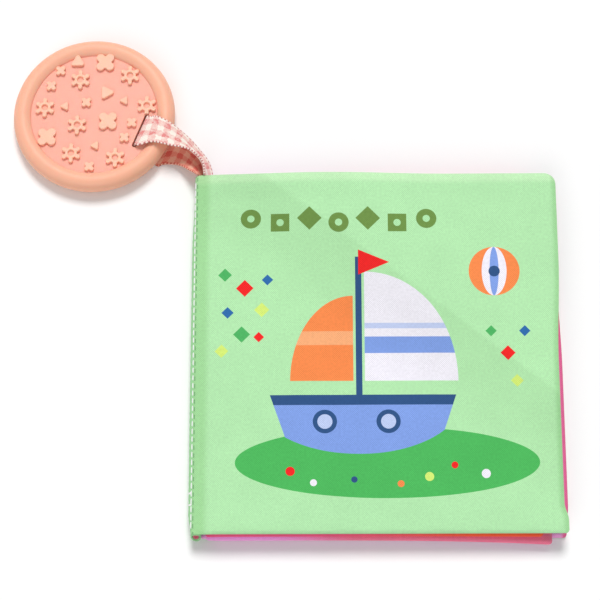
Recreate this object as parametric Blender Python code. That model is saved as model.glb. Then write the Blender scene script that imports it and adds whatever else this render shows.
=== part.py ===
"""A crinkle cloth book with a silicone teether on a ribbon, closed and lying on its back cover.

+X runs from the spine to the fore-edge, +Y along the spine and +Z up. The origin is the
centre of the back cover's underside. The book is two padded double-page sheets, stitched
together along the spine and folded, which gives four leaves: the back cover is fixed, and
the other three turn on the spine's axis.
"""

import math

import bmesh
import bpy
from mathutils import Matrix, Vector
from mathutils.geometry import convex_hull_2d, interpolate_bezier

mm = 0.001

# The cloth book
book_height = 131 * mm
cover_width = 130 * mm
corner_radius = 4.5 * mm
spine_corner_radius = 1.1 * mm
clearance = 0.3 * mm
fabric = 0.35 * mm
film_thickness = 0.2 * mm
wadding_thickness = 0.6 * mm
seam_allowance = 2.5 * mm
crown_height = 0.6 * mm
dent_depth = 0.35 * mm
overrun = 2 * mm

# How far the inner sheet and the back cover stand out of square below the front cover
leaf_2_reach = 119.2 * mm
leaf_3_reach = 122 * mm
inner_sheet_drop = 1 * mm
inner_sheet_fore_drop = 3.2 * mm
back_cover_fore_drop = 1.3 * mm

# The stitched spine
core_radius = 2.8 * mm
outer_fold_wall = 1.2 * mm
mouth_half_angle = math.radians(15)
wedge_half_angle = math.radians(38)
thread = 0.5 * mm
thread_wave = 0.15 * mm
stitch_length = 2.75 * mm
stitch_inset = 1.4 * mm
stitch_end_margin = 1.5 * mm

# The ribbon
ribbon_width = 12 * mm
ribbon_thickness = 0.5 * mm
ribbon_tail_length = 10 * mm
ribbon_tail_height = 2.2 * mm
ribbon_end_height = 9.6 * mm
ribbon_heading = math.radians(105)

# The teether
disc_radius = 29.5 * mm
disc_height = 7.5 * mm
rim_width = 6.9 * mm
floor_thickness = 3.5 * mm
relief_height = 0.9 * mm
figure_field = 23.3 * mm
gear_radius = 3.7 * mm
gear_hole_radius = 1.1 * mm
large_lobe_radius = 3.7 * mm
small_lobe_radius = 1.9 * mm
large_triangle_radius = 2.5 * mm
small_triangle_radius = 1.7 * mm
slot_length = 13.6 * mm
slot_width = 1.8 * mm
slot_outer_wall = 19.4 * mm
loop_reach = 34 * mm
disc_heading = math.radians(-21.6)
floor_clearance = 0.05 * mm

# Where the teether lies: across from the spine's axis, and up from the book's head
disc_across = -39.4 * mm
disc_above = 25.2 * mm

# Values that follow from the ones above
leaf_count = 4
leaf_thickness = 2 * fabric + wadding_thickness + film_thickness + 3 * clearance
leaf_pitch = leaf_thickness + clearance
stack_height = leaf_count * leaf_thickness + (leaf_count - 1) * clearance
axis_x = core_radius - cover_width / 2
axis_z = stack_height / 2
cover_reach = cover_width / 2 - axis_x
leaf_start = core_radius + clearance
taper_reach = axis_z / math.tan(wedge_half_angle)
doubled_ribbon = 2 * ribbon_thickness + clearance
spine_axis = Vector((axis_x, 0, axis_z))
swing_axis = Vector((axis_x, book_height / 2 + clearance + doubled_ribbon / 2, axis_z))
disc_centre_x = axis_x + disc_across
disc_centre_y = book_height / 2 + disc_above

# Shapes of the small forms, as shares of their own size
gear_root_share = 0.66
lobe_waist_share = 0.72
lobe_swell_share = 0.28
strap_end_shares = (0.08, 0.4, 1)
groove_margin_share = 1.05
groove_wall_lean = 0.001

# Counts
corner_steps = 5
edge_steps = 3
fold_steps = 28
disc_steps = 60
rim_steps = 16
strap_steps = 12
crown_lines = 11
hole_steps = 12
figure_steps = 24
gear_hole_steps = 10
slot_end_steps = 6
loop_steps = 40
loop_edge_steps = 12
loop_nose_steps = 16


def material(name, hex_colour, roughness):
    """A plain Principled material of this sRGB colour."""
    levels = [int(hex_colour[i : i + 2], 16) / 255 for i in (0, 2, 4)]
    linear = [v / 12.92 if v <= 0.04045 else ((v + 0.055) / 1.055) ** 2.4 for v in levels]
    made = bpy.data.materials.new(name)
    made.use_nodes = True
    shader = made.node_tree.nodes["Principled BSDF"]
    shader.inputs["Base Color"].default_value = (*linear, 1)
    shader.inputs["Roughness"].default_value = roughness
    shader.inputs["Metallic"].default_value = 0
    made.diffuse_color = (*linear, 1)
    return made


def add_object(name, data, hex_colour, roughness, parent=None, location=(0, 0, 0)):
    obj = bpy.data.objects.new(name, data)
    obj.location = location
    obj.parent = parent
    data.materials.append(material(name + "_finish", hex_colour, roughness))
    bpy.context.scene.collection.objects.link(obj)
    return obj


def add_empty(name, location=(0, 0, 0), parent=None):
    empty = bpy.data.objects.new(name, None)
    empty.empty_display_size = corner_radius
    empty.location = location
    empty.parent = parent
    bpy.context.scene.collection.objects.link(empty)
    return empty


def mesh_from(bm, name, smooth_angle=math.radians(40)):
    mesh = bpy.data.meshes.new(name)
    bm.normal_update()
    bm.to_mesh(mesh)
    bm.free()
    mesh.shade_smooth()
    mesh.set_sharp_from_angle(angle=smooth_angle)
    return mesh


def prism_mesh(name, outline, bottom, top):
    """An outline of (x, y) points, anticlockwise, raised from bottom to top."""
    bm = bmesh.new()
    face = bm.faces.new([bm.verts.new((x, y, bottom)) for x, y in outline])
    face.normal_update()
    if face.normal.z > 0:
        face.normal_flip()
    raised = bmesh.ops.extrude_face_region(bm, geom=[face], use_keep_orig=True)
    upper = [v for v in raised["geom"] if isinstance(v, bmesh.types.BMVert)]
    bmesh.ops.translate(bm, verts=upper, vec=(0, 0, top - bottom))
    bmesh.ops.recalc_face_normals(bm, faces=bm.faces)
    return mesh_from(bm, name)


def helper(name, mesh, parent=None, location=(0, 0, 0)):
    """A cutter or an addition for a Boolean: shown as wire, and never a part itself."""
    obj = bpy.data.objects.new(name, mesh)
    obj.hide_render = True
    obj.display_type = "WIRE"
    obj.location = location
    obj.parent = parent
    bpy.context.scene.collection.objects.link(obj)
    return obj


def boolean(target, tool, operation):
    modifier = target.modifiers.new(tool.name, "BOOLEAN")
    modifier.operation = operation
    modifier.object = tool


def circle_points(centre, radius_x, radius_y, steps):
    turns = [2 * math.pi * i / steps for i in range(steps)]
    return [
        (centre[0] + radius_x * math.cos(t), centre[1] + radius_y * math.sin(t)) for t in turns
    ]


# Leaves


class Leaf:
    """One padded leaf in the closed stack, counted from the back cover at 0."""

    def __init__(self, name, place, reach, spine_drop, fore_drop, upper, lower):
        self.name, self.place, self.reach = name, place, reach
        self.spine_drop, self.fore_drop = spine_drop, fore_drop
        self.upper, self.lower = upper, lower
        self.middle = place * leaf_pitch + leaf_thickness / 2 - axis_z

    def drop(self, u):
        return self.spine_drop + (self.fore_drop - self.spine_drop) * u / self.reach

    def outline(self, start, inset=0):
        """Anticlockwise (u, y) points, u from the spine's axis, with rounded corners."""
        low, high = start, self.reach - inset
        half = book_height / 2 - inset
        fore = corner_radius - inset
        back = spine_corner_radius
        corners = (
            (low + back, -half + back, back, math.pi),
            (high - fore, -half + fore, fore, 1.5 * math.pi),
            (high - fore, half - fore, fore, 0),
            (low + back, half - back, back, 0.5 * math.pi),
        )
        points = []
        for u, y, radius, turn in corners:
            for i in range(corner_steps + 1):
                angle = turn + 0.5 * math.pi * i / corner_steps
                x = u + radius * math.cos(angle)
                points.append((x, y + radius * math.sin(angle) - self.drop(x)))
        return points


def tapered(u, height):
    """Heights about the spine's axis draw in to it along straight lines, like a wedge."""
    return height * min(1, u / taper_reach)


def pillow(leaf, u, y):
    """How far the stuffed cover swells here: nothing at its edges, with two soft dents."""
    across = 2 * (u - leaf_start) / (leaf.reach - leaf_start) - 1
    along = 2 * (y + leaf.drop(u)) / book_height
    swell = crown_height * max(0, 1 - across**4) * max(0, 1 - along**4)
    dent_place_shares = ((0.86, -0.84, 0.22), (0.9, 0.56, 0.2))
    for place_across, place_along, size in dent_place_shares:
        away = math.hypot(across - place_across, along - place_along) / size
        swell -= dent_depth * math.exp(-away * away) * max(0, 1 - across**8) * max(0, 1 - along**8)
    return swell


def panel_mesh(name, leaf, side, crowned=False):
    """The fabric of one face of a leaf: a flat field whose edges turn to the leaf's seam."""
    bm = bmesh.new()
    outline = leaf.outline(leaf_start)
    rings = [
        [bm.verts.new((u, y, height)) for u, y in outline]
        for height in (clearance / 2, fabric)
    ]
    for i in range(len(outline)):
        j = (i + 1) % len(outline)
        bm.faces.new((rings[0][i], rings[0][j], rings[1][j], rings[1][i]))
    field = bm.faces.new(rings[1])
    bm.normal_update()
    edge_round = leaf_thickness / 2 - fabric
    angles = [0.5 * math.pi * i / edge_steps for i in range(edge_steps + 1)]
    for before, after in zip(angles, angles[1:]):
        bmesh.ops.inset_individual(
            bm,
            faces=[field],
            thickness=edge_round * (math.cos(before) - math.cos(after)),
            depth=edge_round * (math.sin(after) - math.sin(before)),
            use_even_offset=True,
        )
    cuts = [((taper_reach, 0, 0), (1, 0, 0))]
    if crowned:
        for i in range(1, crown_lines):
            share = i / crown_lines
            cuts.append(((leaf_start + share * (leaf.reach - leaf_start), 0, 0), (1, 0, 0)))
            cuts.append(((0, (share - 0.5) * book_height, 0), (0, 1, 0)))
    for place, normal in cuts:
        every = bm.verts[:] + bm.edges[:] + bm.faces[:]
        bmesh.ops.bisect_plane(bm, geom=every, plane_co=place, plane_no=normal)
    for vert in bm.verts:
        u, y, height = vert.co
        swell = pillow(leaf, u, y) if crowned and height > fabric else 0
        vert.co.z = tapered(u, leaf.middle + side * (height + swell))
    if side < 0:
        bmesh.ops.reverse_faces(bm, faces=bm.faces)
    return mesh_from(bm, name)


def make_panel(name, leaf, side, hex_colour, parent, location):
    crowned = leaf.place == leaf_count - 1 and side > 0
    panel = add_object(
        name, panel_mesh(name, leaf, side, crowned), hex_colour, 0.85, parent, location
    )
    wall = panel.modifiers.new("fabric", "SOLIDIFY")
    wall.thickness = fabric
    wall.offset = -1
    wall.use_even_offset = True
    return panel


def make_leaf(leaf, parent, location):
    lower_name, lower_colour = leaf.lower
    upper_name, upper_colour = leaf.upper
    make_panel(f"{leaf.name}_{lower_name}", leaf, -1, lower_colour, parent, location)
    make_panel(f"{leaf.name}_{upper_name}", leaf, 1, upper_colour, parent, location)
    flat_start = taper_reach + seam_allowance / 2
    wadding_bottom = leaf.middle - leaf_thickness / 2 + fabric + clearance
    film_bottom = wadding_bottom + wadding_thickness + clearance
    for layer, bottom, thickness, colour in (
        ("wadding", wadding_bottom, wadding_thickness, "F4F2EC"),
        ("crinkle_film", film_bottom, film_thickness, "DCE4EA"),
    ):
        name = f"{leaf.name}_{layer}"
        outline = leaf.outline(flat_start, seam_allowance)
        mesh = prism_mesh(name, outline, bottom, bottom + thickness)
        add_object(name, mesh, colour, 0.6, parent, location)


# Spine


def polar(angle, radius):
    return radius * math.cos(angle), radius * math.sin(angle)


thread_radius_place = core_radius - thread / 2
stitch_angle = math.acos((stitch_inset - core_radius) / thread_radius_place)
groove_floor = core_radius - thread - thread_wave - clearance
groove_half_angle = math.asin((thread / 2 + clearance) / (thread_radius_place - thread_wave))


def spine_prism(name, outline, low, high):
    """An (x, z) outline about the spine's axis, drawn along Y from low to high."""
    mesh = prism_mesh(name, outline, low, high)
    mesh.transform(Matrix.Rotation(math.radians(90), 4, "X"))
    mesh.transform(Matrix.Scale(-1, 4, (0, 1, 0)))
    mesh.flip_normals()
    return mesh


def outer_fold_outline():
    """A round wall, open towards the leaves, with a groove for the thread above and below."""
    outer = []
    grooves = [stitch_angle, 2 * math.pi - stitch_angle]
    span = 2 * math.pi - 2 * mouth_half_angle
    for i in range(fold_steps + 1):
        angle = mouth_half_angle + span * i / fold_steps
        if all(abs(angle - g) > groove_half_angle * groove_margin_share for g in grooves):
            outer.append((angle, core_radius))
    for g in grooves:
        outer += [
            (g - groove_half_angle, core_radius),
            (g - groove_half_angle + groove_wall_lean, groove_floor),
            (g + groove_half_angle - groove_wall_lean, groove_floor),
            (g + groove_half_angle, core_radius),
        ]
    outer.sort()
    bore = core_radius - outer_fold_wall
    inner = [
        (mouth_half_angle + span * i / fold_steps, bore) for i in reversed(range(fold_steps + 1))
    ]
    return [polar(angle, radius) for angle, radius in outer + inner]


def make_spine(location):
    half = book_height / 2
    bore = core_radius - outer_fold_wall
    outer = add_object(
        "spine_outer_fold",
        spine_prism("spine_outer_fold", outer_fold_outline(), -half, half),
        "A9DDA6",
        0.85,
        location=location,
    )
    inner_radius = bore - clearance
    inner_end = half - ribbon_tail_length - clearance
    inner = add_object(
        "spine_inner_fold",
        spine_prism(
            "spine_inner_fold",
            circle_points((0, 0), inner_radius, inner_radius, fold_steps // 2),
            -half,
            inner_end,
        ),
        "E8524A",
        0.85,
        location=location,
    )
    thread_x = stitch_inset - core_radius
    hole_y = stitch_end_margin - half
    hole_radius = thread / 2 + clearance
    needle_hole = helper(
        "needle_hole",
        prism_mesh(
            "needle_hole",
            circle_points((thread_x, hole_y), hole_radius, hole_radius, hole_steps),
            -core_radius - overrun,
            core_radius + overrun,
        ),
        location=location,
    )
    boolean(outer, needle_hole, "DIFFERENCE")
    boolean(inner, needle_hole, "DIFFERENCE")
    make_thread(thread_x, hole_y, half - stitch_end_margin, location)
    make_ribbon_tail(half, location)


def make_thread(thread_x, foot, head, location):
    """One thread: along the upper groove, down through the spine and back along the lower."""
    top = thread_radius_place * math.sin(stitch_angle)
    count = round((head - foot) / stitch_length)
    pitch = (head - foot) / count
    line = []
    for i in range(count):
        line.append((head - i * pitch, thread_wave))
        line.append((head - (i + 0.5) * pitch, 0))
    upper = [(thread_x, y, top - wave) for y, wave in line]
    turn = thread
    down = [
        (thread_x, foot + turn / 4, top - turn / 4),
        (thread_x, foot, top - turn),
        (thread_x, foot, turn - top),
        (thread_x, foot + turn / 4, turn / 4 - top),
    ]
    lower = [(thread_x, y, wave - top) for y, wave in reversed(line)]
    curve = bpy.data.curves.new("spine_thread", "CURVE")
    curve.dimensions = "3D"
    curve.bevel_depth = thread / 2
    curve.bevel_resolution = 0
    curve.use_fill_caps = True
    spline = curve.splines.new("POLY")
    points = upper + down + lower
    spline.points.add(len(points) - 1)
    for point, place in zip(spline.points, points):
        point.co = (*place, 1)
    add_object("spine_thread", curve, "FFFFFF", 0.6, location=location)


def make_ribbon_tail(half, location):
    """The ribbon's two ends, folded small and sewn into the head of the spine."""
    wide, tall = doubled_ribbon / 2, ribbon_tail_height / 2
    outline = ((-wide, -tall), (wide, -tall), (wide, tall), (-wide, tall))
    mesh = spine_prism("ribbon_tail", outline, half - ribbon_tail_length, half)
    add_object("ribbon_tail", mesh, "F5B0B0", 0.8, location=location)


# Teether: its own frame has u from its centre to the slot, v along the slot and w up

rim_middle = disc_radius - rim_width / 2
half_disc = disc_height / 2
floor_top = half_disc + floor_thickness / 2
disc_tilt = math.asin((ribbon_thickness + clearance + floor_clearance) / (2 * rim_middle))


def disc_mesh():
    """The turned body: a floor inside a rim of oval section."""
    bm = bmesh.new()
    start = math.pi - math.asin(floor_thickness / disc_height)
    profile = [(0, half_disc - floor_thickness / 2)]
    for i in range(rim_steps + 1):
        angle = -start + 2 * start * i / rim_steps
        profile.append(
            (
                rim_middle + rim_width / 2 * math.cos(angle),
                half_disc + half_disc * math.sin(angle),
            )
        )
    profile.append((0, floor_top))
    rings = []
    for radius, height in profile:
        if radius == 0:
            rings.append([bm.verts.new((0, 0, height))])
            continue
        rings.append(
            [bm.verts.new((x, y, height)) for x, y in circle_points((0, 0), radius, radius, disc_steps)]
        )
    for lower, upper in zip(rings, rings[1:]):
        for i in range(disc_steps):
            j = (i + 1) % disc_steps
            corners = [lower[i % len(lower)], lower[j % len(lower)]]
            corners += [upper[j % len(upper)], upper[i % len(upper)]]
            bm.faces.new(list(dict.fromkeys(corners)))
    bmesh.ops.recalc_face_normals(bm, faces=bm.faces)
    return mesh_from(bm, "teether_disc", math.radians(30))


def gear_outline(radius):
    """Six short teeth round a body."""
    profile_shares = (gear_root_share, gear_root_share, 1, 1)
    points = []
    for i in range(figure_steps):
        share = profile_shares[i % len(profile_shares)]
        points.append(polar(2 * math.pi * (i - 0.5) / figure_steps, radius * share))
    return points


def lobe_outline(radius):
    """Four round lobes, like a clover."""
    points = []
    for i in range(figure_steps):
        angle = 2 * math.pi * (i + 0.5) / figure_steps
        share = lobe_waist_share - lobe_swell_share * math.cos(4 * angle)
        points.append(polar(angle, radius * share))
    return points


def triangle_outline(radius, turn):
    return [polar(turn + 2 * math.pi * i / 3, radius) for i in range(3)]


# Places on the floor as shares of the figures' field, in the book's own X and Y directions
gear_place_shares = (
    (0.57, 0.72), (-0.22, 0.62), (0.81, 0.21), (-0.79, 0.16), (-0.28, -0.11),
    (-0.38, -0.59), (0.32, -0.69),
)
large_lobe_place_shares = ((0.16, 0.91), (0.21, -0.07), (-0.75, -0.33))
small_lobe_place_shares = (
    (-0.53, 0.79), (-0.68, 0.51), (-0.12, 0.23), (0.56, -0.08), (0.44, -0.36), (-0.08, -0.85),
)
large_triangle_place_shares = ((-0.27, 0.93, 90), (0.19, 0.40, 0))
small_triangle_place_shares = ((0.47, 0.28, 180), (-0.47, 0.20, 180), (0.01, -0.47, 180))


def relief_mesh():
    """All the raised figures of the floor, each a prism sunk a little into it."""
    sunk = floor_top - relief_height
    raised = floor_top + relief_height
    figures = [(gear_outline(gear_radius), place) for place in gear_place_shares]
    figures += [(lobe_outline(large_lobe_radius), place) for place in large_lobe_place_shares]
    figures += [(lobe_outline(small_lobe_radius), place) for place in small_lobe_place_shares]
    for radius, places in (
        (large_triangle_radius, large_triangle_place_shares),
        (small_triangle_radius, small_triangle_place_shares),
    ):
        figures += [
            (triangle_outline(radius, math.radians(turn)), (x, y)) for x, y, turn in places
        ]
    bm = bmesh.new()
    for outline, (share_x, share_y) in figures:
        mesh = prism_mesh("figure", outline, sunk, raised)
        mesh.transform(Matrix.Translation((share_x * figure_field, share_y * figure_field, 0)))
        bm.from_mesh(mesh)
        bpy.data.meshes.remove(mesh)
    mesh = mesh_from(bm, "relief")
    mesh.transform(Matrix.Rotation(-disc_heading, 4, "Z"))
    return mesh


def gear_holes_mesh():
    bm = bmesh.new()
    for share_x, share_y in gear_place_shares:
        centre = (share_x * figure_field, share_y * figure_field)
        outline = circle_points(centre, gear_hole_radius, gear_hole_radius, gear_hole_steps)
        mesh = prism_mesh("hole", outline, floor_top + relief_height / 4, floor_top + overrun)
        bm.from_mesh(mesh)
        bpy.data.meshes.remove(mesh)
    mesh = mesh_from(bm, "gear_holes")
    mesh.transform(Matrix.Rotation(-disc_heading, 4, "Z"))
    return mesh


def slot_mesh():
    half_run = (slot_length - slot_width) / 2
    middle = slot_outer_wall - slot_width / 2
    outline = []
    for turn, place in ((0, half_run), (math.pi, -half_run)):
        for i in range(slot_end_steps + 1):
            x, y = polar(turn + math.pi * i / slot_end_steps, slot_width / 2)
            outline.append((middle + x, place + y))
    return prism_mesh("slot", outline, -overrun, disc_height + overrun)


def loop_outline(margin):
    """The path of a ribbon drawn taut round the rim, from the slot to where its runs meet."""
    points = circle_points(
        (rim_middle, half_disc), rim_width / 2 + margin, half_disc + margin, loop_steps
    )
    for edge in (floor_top, disc_height - floor_top):
        points += circle_points((slot_outer_wall, edge), margin, margin, loop_edge_steps)
    nose = margin - clearance + doubled_ribbon / 2 - ribbon_thickness
    points += circle_points((loop_reach, half_disc), nose, nose, loop_nose_steps)
    return [points[i] for i in convex_hull_2d([Vector(p) for p in points])]


def loop_mesh(name, margin, half_width):
    mesh = prism_mesh(name, loop_outline(margin), -half_width, half_width)
    mesh.transform(Matrix.Rotation(math.radians(90), 4, "X"))
    return mesh


def teether_frame():
    """World place of the flap's axis and the turn that lays the disc down beside the book."""
    turn = Matrix.Rotation(disc_heading, 4, "Z") @ Matrix.Rotation(-disc_tilt, 4, "Y")
    rest = Vector((disc_centre_x, disc_centre_y, rim_middle * math.sin(disc_tilt)))
    return rest + turn @ Vector((loop_reach, 0, half_disc)), turn


def make_teether(parent):
    place, turn = teether_frame()
    axis = add_empty("teether_axis", place - swing_axis, parent)
    axis.rotation_euler = turn.to_euler()
    offset = (-loop_reach, 0, -half_disc)
    disc = add_object("teether_disc", disc_mesh(), "FFBFA8", 0.45, axis, offset)
    boolean(disc, helper("relief", relief_mesh(), axis, offset), "UNION")
    boolean(disc, helper("gear_holes", gear_holes_mesh(), axis, offset), "DIFFERENCE")
    boolean(disc, helper("slot", slot_mesh(), axis, offset), "DIFFERENCE")
    half = ribbon_width / 2
    outer = loop_mesh("ribbon_loop", clearance + ribbon_thickness, half)
    loop = add_object("ribbon_loop", outer, "F5B0B0", 0.8, axis, offset)
    inner = loop_mesh("loop_bore", clearance, half + overrun)
    boolean(loop, helper("loop_bore", inner, axis, offset), "DIFFERENCE")


def make_strap(parent):
    """The ribbon's two runs together, on edge at the spine and lying flat at the teether."""
    hinge, _ = teether_frame()
    along = Vector((math.cos(disc_heading), math.sin(disc_heading), 0))
    out = Vector((math.cos(ribbon_heading), math.sin(ribbon_heading), 0))
    half = doubled_ribbon / 2
    first = hinge + along * (half + clearance) - swing_axis
    last = -out * half
    reach = (first - last).length / 3
    path = interpolate_bezier(
        first, first + along * reach, last + out * reach, last, strap_steps + 1
    )
    stations = [
        (first + along * half * d, math.sqrt(1 - (1 - d) ** 2), 0) for d in strap_end_shares
    ]
    for i in range(1, strap_steps):
        if half < (path[i] - first).length and half < (path[i] - last).length:
            stations.append((path[i], 1, i / strap_steps))
    stations += [
        (last + out * half * d, math.sqrt(1 - (1 - d) ** 2), 1)
        for d in reversed(strap_end_shares)
    ]
    bm = bmesh.new()
    rings = []
    for i, (place, fullness, share) in enumerate(stations):
        before, after = stations[max(i - 1, 0)][0], stations[min(i + 1, len(stations) - 1)][0]
        forward = (after - before).normalized()
        level = forward.cross(Vector((0, 0, 1))).normalized()
        twist = Matrix.Rotation(-math.radians(90) * share * share * (3 - 2 * share), 3, forward)
        across = twist @ level
        thick = forward.cross(across).normalized() * half * fullness
        across *= (ribbon_width + (ribbon_end_height - ribbon_width) * share) / 2
        corners = (across + thick, thick - across, -across - thick, across - thick)
        rings.append([bm.verts.new(place + corner) for corner in corners])
    bm.faces.new(rings[0])
    bm.faces.new(rings[-1])
    for near, far in zip(rings, rings[1:]):
        for i in range(4):
            j = (i + 1) % 4
            bm.faces.new((near[i], near[j], far[j], far[i]))
    bmesh.ops.recalc_face_normals(bm, faces=bm.faces)
    add_object("ribbon_strap", mesh_from(bm, "ribbon_strap"), "F5B0B0", 0.8, parent)


def main():
    for old in list(bpy.data.objects):
        bpy.data.objects.remove(old, do_unlink=True)
    back_cover = Leaf(
        "back_cover", 0, cover_reach, 0, back_cover_fore_drop,
        ("inner", "E8A0C8"), ("outer", "B4EDB0"),
    )
    leaf_3 = Leaf(
        "leaf_3", 1, leaf_3_reach, inner_sheet_drop, inner_sheet_fore_drop,
        ("front", "FF7090"), ("back", "E8A0C8"),
    )
    leaf_2 = Leaf(
        "leaf_2", 2, leaf_2_reach, inner_sheet_drop, inner_sheet_fore_drop,
        ("front", "E8524A"), ("back", "F06878"),
    )
    front_cover = Leaf(
        "front_cover", 3, cover_reach, 0, 0, ("outer", "B4EDB0"), ("inner", "9AD6C4")
    )
    make_spine(spine_axis)
    make_leaf(back_cover, None, spine_axis)
    parent = add_empty("leaf_3_axis", spine_axis)
    make_leaf(leaf_3, parent, (0, 0, 0))
    parent = add_empty("leaf_2_axis", parent=parent)
    make_leaf(leaf_2, parent, (0, 0, 0))
    parent = add_empty("front_cover_axis", parent=parent)
    make_leaf(front_cover, parent, (0, 0, 0))
    swing = add_empty("ribbon_axis", swing_axis)
    make_strap(swing)
    make_teether(swing)


main()
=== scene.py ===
"""The looks of a crinkle cloth book with a silicone teether on a gingham ribbon.

Lengths are in metres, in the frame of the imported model: +X runs from the spine to the
fore-edge, +Y along the spine and +Z up, from the centre of the back cover's underside.
"""

import math

import bpy
import numpy as np
from mathutils import Matrix, Vector


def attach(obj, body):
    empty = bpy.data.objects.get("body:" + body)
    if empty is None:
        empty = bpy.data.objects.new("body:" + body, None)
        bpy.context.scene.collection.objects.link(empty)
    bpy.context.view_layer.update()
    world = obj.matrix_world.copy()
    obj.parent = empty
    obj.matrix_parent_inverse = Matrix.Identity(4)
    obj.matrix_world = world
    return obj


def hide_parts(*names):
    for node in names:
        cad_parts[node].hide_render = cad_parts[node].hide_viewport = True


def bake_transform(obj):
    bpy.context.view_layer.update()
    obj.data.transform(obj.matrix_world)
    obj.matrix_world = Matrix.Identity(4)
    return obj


mm = 0.001

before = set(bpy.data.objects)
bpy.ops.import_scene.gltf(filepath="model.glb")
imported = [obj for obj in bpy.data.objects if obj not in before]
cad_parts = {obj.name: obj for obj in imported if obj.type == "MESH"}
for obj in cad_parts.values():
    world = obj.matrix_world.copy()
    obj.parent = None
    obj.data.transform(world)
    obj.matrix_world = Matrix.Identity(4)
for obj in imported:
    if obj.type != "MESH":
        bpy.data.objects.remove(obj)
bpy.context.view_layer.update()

# The closed book, as in the part's source
book_height = 131 * mm
cover_width = 130 * mm
leaf_thickness = 2.4 * mm
leaf_pitch = 2.7 * mm
core_radius = 2.8 * mm
cloth_gap = 0.15 * mm
axis_x = core_radius - cover_width / 2
axis_z = 5.25 * mm

# The leaves: their corners, the roll of their edges, and how they thin towards the stitches
head_corner_radius = 4.2 * mm
foot_corner_radius = 1.4 * mm
spine_corner_radius = 1.1 * mm
edge_turn = 1.2 * mm
taper_end = 9 * mm
stitched_thickness = 0.8 * mm
stitched_share = 0.461
cover_padding = 0.6 * mm
seam_margin = 3 * mm
spine_margin = 6 * mm
layer_step = 3 * mm

# The spine: its folds go round from one angle to the other, in degrees from the leaves' side
stitch_pitch = 2.75 * mm
stitch_length = 2.65 * mm
stitch_turn = math.radians(130)
thread_radius = 0.33 * mm
# How far from the fold's axis the painted shadow of the stitches lies on the cover
stitch_shadow_line = axis_x - 1.12 * mm
tack_rows = (-50.7 * mm, -54.8 * mm)
tack_turns = (116, 135, 154)
fold_start = 15
fold_end = 345

# The teether and its own frame: u from its centre to the slot, v along the slot, w up
disc_radius = 29.5 * mm
disc_height = 7.5 * mm
rim_width = 6.9 * mm
floor_thickness = 3.5 * mm
relief_height = 1.25 * mm
figure_field = 23.3 * mm
slot_length = 13.6 * mm
slot_width = 1.8 * mm
slot_middle = 18.5 * mm
disc_centre = Vector((-101.6 * mm, 90.7 * mm, 0.425 * mm))
disc_heading = math.radians(-21.6)
disc_tilt = math.radians(0.9348)
disc_turn = Matrix.Rotation(disc_heading, 4, "Z") @ Matrix.Rotation(-disc_tilt, 4, "Y")
rim_middle = disc_radius - rim_width / 2
floor_top = (disc_height + floor_thickness) / 2

# The ribbon: its squares are a fifth of its width, and its run below starts 46 mm along it
ribbon_width = 12 * mm
ribbon_thickness = 0.5 * mm
ribbon_steps = 12
ribbon_lanes = 12
check_width = ribbon_width / 5
picot_pitch = 1.3 * mm
picot_height = 0.08 * mm
upper_run_end = 38 * mm
lower_run_start = 46 * mm

# Camera, fitted to the cover's corners in a 600 x 600 picture
camera_elevation = math.radians(72.25)
camera_azimuth = math.radians(-1.79)
camera_roll = math.radians(-1.95)
camera_distance = 750 * mm
camera_target = Vector((-26.65 * mm, 21.08 * mm, 0))
focal_share = 3.501
sensor_width = 36


# Objects


def deselect():
    bpy.ops.object.select_all(action="DESELECT")


def only(piece):
    deselect()
    piece.select_set(True)
    bpy.context.view_layer.objects.active = piece


def apply_modifier(piece, kind, **settings):
    only(piece)
    modifier = piece.modifiers.new(kind.lower(), kind)
    for name, value in settings.items():
        setattr(modifier, name, value)
    bpy.ops.object.modifier_apply(modifier=modifier.name)


def boolean(piece, tool, operation):
    apply_modifier(piece, "BOOLEAN", object=tool, operation=operation, solver="EXACT")
    bpy.data.objects.remove(tool, do_unlink=True)


def add_piece(name, mesh, *materials):
    piece = bpy.data.objects.new(name, mesh)
    for material in materials:
        mesh.materials.append(material)
    bpy.context.scene.collection.objects.link(piece)
    return piece


# Colours and nodes


def linear(hex_colour):
    """An sRGB hex colour as linear RGBA."""
    levels = [int(hex_colour[i : i + 2], 16) / 255 for i in (0, 2, 4)]
    return (*[v / 12.92 if v <= 0.04045 else ((v + 0.055) / 1.055) ** 2.4 for v in levels], 1)


def add_node(tree, kind, inputs=(), output=0, **settings):
    """Adds a node with its settings, sets or links its inputs, and gives one of its outputs."""
    node = tree.nodes.new("ShaderNode" + kind)
    for name, value in settings.items():
        setattr(node, name, value)
    for name, value in inputs.items() if isinstance(inputs, dict) else enumerate(inputs):
        if isinstance(value, bpy.types.NodeSocket):
            tree.links.new(value, node.inputs[name])
        else:
            node.inputs[name].default_value = value
    return node.outputs[output]


def new_material(name, as_cloth=True):
    """An empty material, its tree, and where its points lay in the flat cloth or lie in the piece."""
    material = bpy.data.materials.new(name)
    material.use_nodes = True
    tree = material.node_tree
    tree.nodes.clear()
    if as_cloth:
        return material, tree, add_node(tree, "Attribute", output="Vector", attribute_name="rest")
    return material, tree, add_node(tree, "TexCoord", output="Object")


def with_surface(material, surface, shader="BsdfPrincipled"):
    """The material, its shader given that surface and linked to its output."""
    tree = material.node_tree
    output = tree.nodes.new("ShaderNodeOutputMaterial")
    tree.links.new(add_node(tree, shader, surface), output.inputs[0])
    return material


def shade_of(tree, colour, factor, low, high):
    """The colour made darker and lighter between two shares as the factor goes from 0 to 1."""
    level = add_node(tree, "MapRange", {"Value": factor, "To Min": low, "To Max": high})
    grey = add_node(tree, "CombineColor", (level, level, level))
    layers = {0: 1.0, 6: colour, 7: grey}
    return add_node(tree, "Mix", layers, 2, data_type="RGBA", blend_type="MULTIPLY")


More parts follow.
